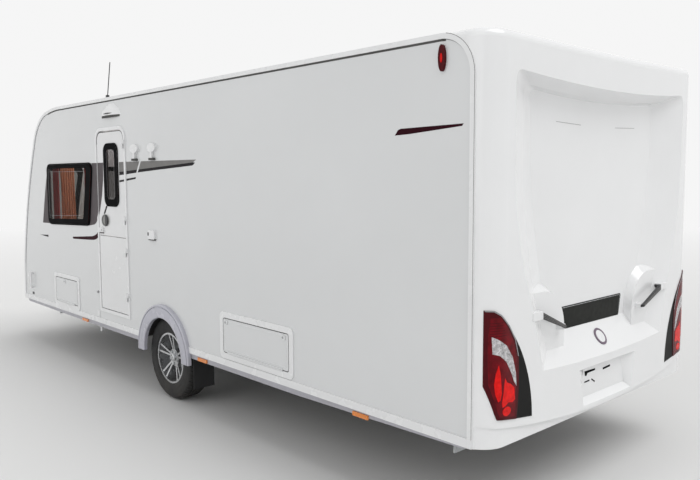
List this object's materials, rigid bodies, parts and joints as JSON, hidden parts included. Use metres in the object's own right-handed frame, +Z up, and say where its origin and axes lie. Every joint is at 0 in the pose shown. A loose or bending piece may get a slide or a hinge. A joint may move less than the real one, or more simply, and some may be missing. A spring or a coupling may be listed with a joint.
{
  "type": "travel caravan",
  "caption": "Single-axle travel caravan with a hollow cabin, stable door, side hatches, moulded rear panel, drawbar, jockey wheel and folding corner steadies.",
  "frame": {"origin": "middle of the whole caravan on the ground: halfway across, halfway between the coupling's nose and the rear bumper, at the height of the tyres' lowest point", "axes": "+Z up, -Y towards the drawbar, +Y towards the rear panel, +X towards the nearside wall with the entrance door"},
  "size_m": [2.234, 7.344, 2.7209],
  "materials": {
    "body_white": "gloss white moulded body panels",
    "sheet_white": "gloss white side sheet",
    "trim_white": "white moulded trim",
    "skirt_grey": "satin grey skirt",
    "spat_grey": "lilac grey moulded wheel surround",
    "dark_glass": "dark tinted acrylic",
    "smoked_dome": "smoked acrylic dome",
    "lamp_amber": "amber lamp lens",
    "lamp_red": "red lamp lens",
    "black_plastic": "black textured plastic",
    "galvanised": "galvanised steel",
    "black_steel": "black painted steel",
    "alloy": "silver painted alloy",
    "tyre": "black rubber",
    "jockey_rubber": "black rubber",
    "floor_ply": "floor panel",
    "furniture_wood": "furniture board",
    "seat_fabric": "woven upholstery",
    "curtain_red": "red curtain cloth"
  },
  "bodies": {
    "caravan": {"aerial": "black_plastic", "arch_spats": "spat_grey", "axle": "galvanised", "chassis_rails": "galvanised", "coupling_head": "black_steel", "cross_members": "galvanised", "curtains": "curtain_red", "cushions": "seat_fabric", "door_frame": "trim_white", "drawbar_nearside": "galvanised", "drawbar_offside": "galvanised", "floor": "floor_ply", "front_moulding": "body_white", "furniture": "furniture_wood", "grab_handles": "black_plastic", "jockey_clamp": "galvanised", "mudflaps": "black_plastic", "opening_frames": "trim_white", "overrun": "black_steel", "rear_lamps": "lamp_red", "rear_moulding": "body_white", "roof": "body_white", "rooflight_domes": "smoked_dome", "service_units": "black_plastic", "side_markers": "lamp_amber", "side_rails": "trim_white", "side_skirts": "skirt_grey", "steady_brackets": "galvanised", "tail_lamp_infills": "black_plastic", "wall_fittings": "trim_white", "wall_nearside": "sheet_white", "wall_offside": "sheet_white", "wheel_boxes": "black_plastic", "windows": "dark_glass"},
    "wheel_left": {"tyre_nearside": "tyre", "wheel_nearside": "alloy"},
    "wheel_right": {"tyre_offside": "tyre", "wheel_offside": "alloy"},
    "jockey_slider": {"jockey_leg": "galvanised"},
    "jockey_caster": {"jockey_fork": "galvanised"},
    "jockey_roller": {"jockey_wheel": "jockey_rubber"},
    "door_top_leaf": {"door_upper": "body_white", "glass_door": "dark_glass", "door_handle": "black_plastic"},
    "door_bottom_leaf": {"door_lower": "body_white"},
    "small_hatch": {"hatch_small": "body_white"},
    "large_hatch": {"hatch_large": "body_white"},
    "cassette_hatch": {"hatch_cassette": "body_white"},
    "gas_locker_lid": {"locker_lid": "body_white"},
    "front_nearside_steady": {"steady_front_nearside": "galvanised"},
    "front_offside_steady": {"steady_front_offside": "galvanised"},
    "rear_nearside_steady": {"steady_rear_nearside": "galvanised"},
    "rear_offside_steady": {"steady_rear_offside": "galvanised"}
  },
  "joints": [
    {"name": "wheel_left_spin", "type": "hinge", "parent": "caravan", "child": "wheel_left", "pos_m": [0.955, 0.62, 0.32], "axis": [1, 0, 0], "continuous": true},
    {"name": "wheel_right_spin", "type": "hinge", "parent": "caravan", "child": "wheel_right", "pos_m": [-0.955, 0.62, 0.32], "axis": [1, 0, 0], "continuous": true},
    {"name": "jockey_height", "type": "slide", "parent": "caravan", "child": "jockey_slider", "axis": [0, 0, 1], "range_m": [0, 0.13]},
    {"name": "jockey_swivel", "type": "hinge", "parent": "jockey_slider", "child": "jockey_caster", "pos_m": [-0.25, -3.1, 0.236], "axis": [0, 0, 1], "continuous": true},
    {"name": "jockey_spin", "type": "hinge", "parent": "jockey_caster", "child": "jockey_roller", "pos_m": [-0.25, -3.055, 0.1], "axis": [1, 0, 0], "continuous": true},
    {"name": "door_top_hinge", "type": "hinge", "parent": "caravan", "child": "door_top_leaf", "pos_m": [1.1, 0.035, 1.7], "axis": [0, 0, 1], "range_deg": [0, 160]},
    {"name": "door_bottom_hinge", "type": "hinge", "parent": "caravan", "child": "door_bottom_leaf", "pos_m": [1.1, 0.035, 0.9], "axis": [0, 0, 1], "range_deg": [0, 160]},
    {"name": "small_hatch_hinge", "type": "hinge", "parent": "caravan", "child": "small_hatch", "pos_m": [1.095, -1.267, 0.518], "axis": [0, 1, 0], "range_deg": [0, 110]},
    {"name": "large_hatch_hinge", "type": "hinge", "parent": "caravan", "child": "large_hatch", "pos_m": [1.095, 1.8175, 0.527], "axis": [0, 1, 0], "range_deg": [0, 110]},
    {"name": "cassette_hatch_hinge", "type": "hinge", "parent": "caravan", "child": "cassette_hatch", "pos_m": [-1.095, 2.77, 0.522], "axis": [0, -1, 0], "range_deg": [0, 110]},
    {"name": "gas_locker_hinge", "type": "hinge", "parent": "caravan", "child": "gas_locker_lid", "pos_m": [0, -2.526, 0.902], "axis": [-1, 0, 0], "range_deg": [0, 90]},
    {"name": "steady_front_nearside_hinge", "type": "hinge", "parent": "caravan", "child": "front_nearside_steady", "pos_m": [0.86, -1.51, 0.392], "axis": [1, 0, 0], "range_deg": [0, 48]},
    {"name": "steady_front_offside_hinge", "type": "hinge", "parent": "caravan", "child": "front_offside_steady", "pos_m": [-0.86, -1.51, 0.392], "axis": [1, 0, 0], "range_deg": [0, 48]},
    {"name": "steady_rear_nearside_hinge", "type": "hinge", "parent": "caravan", "child": "rear_nearside_steady", "pos_m": [0.86, 2.89, 0.392], "axis": [-1, 0, 0], "range_deg": [0, 48]},
    {"name": "steady_rear_offside_hinge", "type": "hinge", "parent": "caravan", "child": "rear_offside_steady", "pos_m": [-0.86, 2.89, 0.392], "axis": [-1, 0, 0], "range_deg": [0, 48]}
  ]
}
